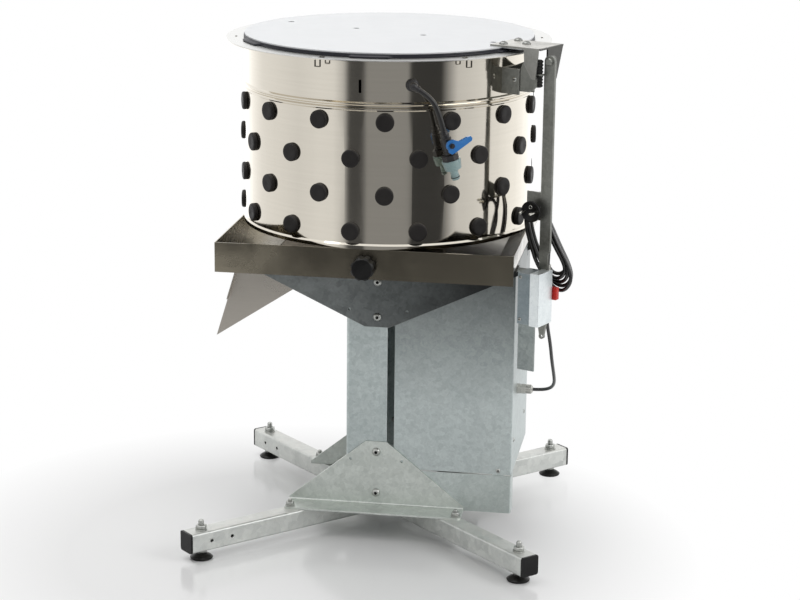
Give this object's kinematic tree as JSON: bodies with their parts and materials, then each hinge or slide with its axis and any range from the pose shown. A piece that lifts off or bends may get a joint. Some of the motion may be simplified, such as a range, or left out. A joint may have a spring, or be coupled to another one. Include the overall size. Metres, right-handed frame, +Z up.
{
  "type": "poultry plucker",
  "caption": "Drum plucker with rubber fingers, spinning floor plate, hinged lid, drip tray and chute on a galvanised cross base with levelling feet.",
  "frame": {"origin": "on the floor, on the axis of the drum", "axes": "+Z up along the drum's axis, -Y towards the side with the tray's knob, +X towards the motor casing"},
  "size_m": [0.653, 0.6188, 0.8909],
  "materials": {
    "galvanised": "satin, spangled zinc",
    "dark_galvanised": "satin, dark zinc",
    "stainless": "polished",
    "lid_plastic": "smooth",
    "rotor_aluminium": "satin",
    "machined_steel": "turned",
    "zinc_fasteners": "bright zinc",
    "cast_housing": "painted",
    "motor_paint": "satin",
    "finger_rubber": "matte",
    "black_rubber": "matte",
    "black_plastic": "moulded",
    "grey_plastic": "moulded",
    "red_plastic": "moulded",
    "cable_black": "smooth sheath",
    "hose_black": "smooth",
    "valve_nickel": "nickel plated",
    "lever_blue": "gloss",
    "connector_teal": "moulded"
  },
  "bodies": {
    "frame": {"base_cross_tube": "galvanised", "base_gusset_back": "galvanised", "base_gusset_front": "galvanised", "base_short_arms": "galvanised", "bearing_housings": "cast_housing", "bearing_plate": "galvanised", "bump_stop": "black_rubber", "cable_glands": "grey_plastic", "casing_cover": "galvanised", "casing_lower_panel": "galvanised", "collection_tray": "stainless", "column": "galvanised", "cord_hank": "cable_black", "cover_screws": "zinc_fasteners", "drive_belt": "black_rubber", "drum_fingers": "finger_rubber", "drum_shell": "stainless", "feather_chute": "stainless", "foot_nuts": "zinc_fasteners", "gusset_bolts": "zinc_fasteners", "head_gusset_back": "dark_galvanised", "head_gusset_front": "dark_galvanised", "hinge_support": "galvanised", "hose_connector": "connector_teal", "hose_outlet": "hose_black", "lid_post": "stainless", "mains_cord": "cable_black", "mains_plug": "cable_black", "motor_body": "motor_paint", "motor_cable": "cable_black", "motor_plate": "galvanised", "pivot_bolt": "machined_steel", "post_bracket": "galvanised", "rim_clips": "stainless", "shaft_bearings": "machined_steel", "spray_hose": "hose_black", "switch_body": "black_plastic", "switch_box": "galvanised", "switch_box_cover": "galvanised", "tube_end_caps": "black_plastic", "valve_body": "valve_nickel"},
    "lid": {"lid_panel": "lid_plastic", "lid_seal": "black_rubber", "lid_bracket": "stainless", "lid_bracket_bolts": "zinc_fasteners"},
    "rotor": {"rotor_plate": "rotor_aluminium", "rotor_fingers": "finger_rubber", "rotor_nut": "zinc_fasteners", "rotor_shaft": "machined_steel", "driven_pulley": "rotor_aluminium"},
    "motor_rotor": {"motor_shaft": "machined_steel", "drive_pulley": "rotor_aluminium"},
    "valve_handle": {"valve_lever": "lever_blue"},
    "knob": {"tray_knob": "black_plastic"},
    "stop_key": {"stop_button": "red_plastic"},
    "foot_front_left": {"foot_front_left": "black_plastic"},
    "foot_front_right": {"foot_front_right": "black_plastic"},
    "foot_back_left": {"foot_back_left": "black_plastic"},
    "foot_back_right": {"foot_back_right": "black_plastic"}
  },
  "joints": [
    {"name": "lid_hinge", "type": "hinge", "parent": "frame", "child": "lid", "pos_m": [0.29595, -0.1449, 0.864], "axis": [0.4067, 0.9135, 0], "range_deg": [0, 100]},
    {"name": "rotor_spin", "type": "hinge", "parent": "frame", "child": "rotor", "pos_m": [0, 0, 0.566], "axis": [0, 0, 1], "continuous": true},
    {"name": "motor_spin", "type": "hinge", "parent": "frame", "child": "motor_rotor", "pos_m": [0.138, 0.02, 0.466], "axis": [0, 0, 1], "continuous": true},
    {"name": "valve_turn", "type": "hinge", "parent": "frame", "child": "valve_handle", "pos_m": [0.14525, -0.25331, 0.73677], "axis": [0.5136, -0.858, -0.0001], "range_deg": [0, 90]},
    {"name": "knob_turn", "type": "hinge", "parent": "frame", "child": "knob", "pos_m": [0.0028, -0.26, 0.527], "axis": [0, -1, 0], "range_deg": [-180, 180]},
    {"name": "stop_press", "type": "slide", "parent": "frame", "child": "stop_key", "axis": [-0.9135, 0.4067, 0], "range_m": [0, 0.003], "stiffness_N_per_m": 600, "springref_m": -0.001},
    {"name": "front_left_foot_height", "type": "slide", "parent": "frame", "child": "foot_front_left", "axis": [0, 0, -1], "range_m": [0, 0.008]},
    {"name": "front_right_foot_height", "type": "slide", "parent": "frame", "child": "foot_front_right", "axis": [0, 0, -1], "range_m": [0, 0.008]},
    {"name": "back_left_foot_height", "type": "slide", "parent": "frame", "child": "foot_back_left", "axis": [0, 0, -1], "range_m": [0, 0.008]},
    {"name": "back_right_foot_height", "type": "slide", "parent": "frame", "child": "foot_back_right", "axis": [0, 0, -1], "range_m": [0, 0.008]}
  ],
  "couplings": [
    {"joint": "motor_spin", "follows": "rotor_spin", "ratio": 2.5}
  ]
}
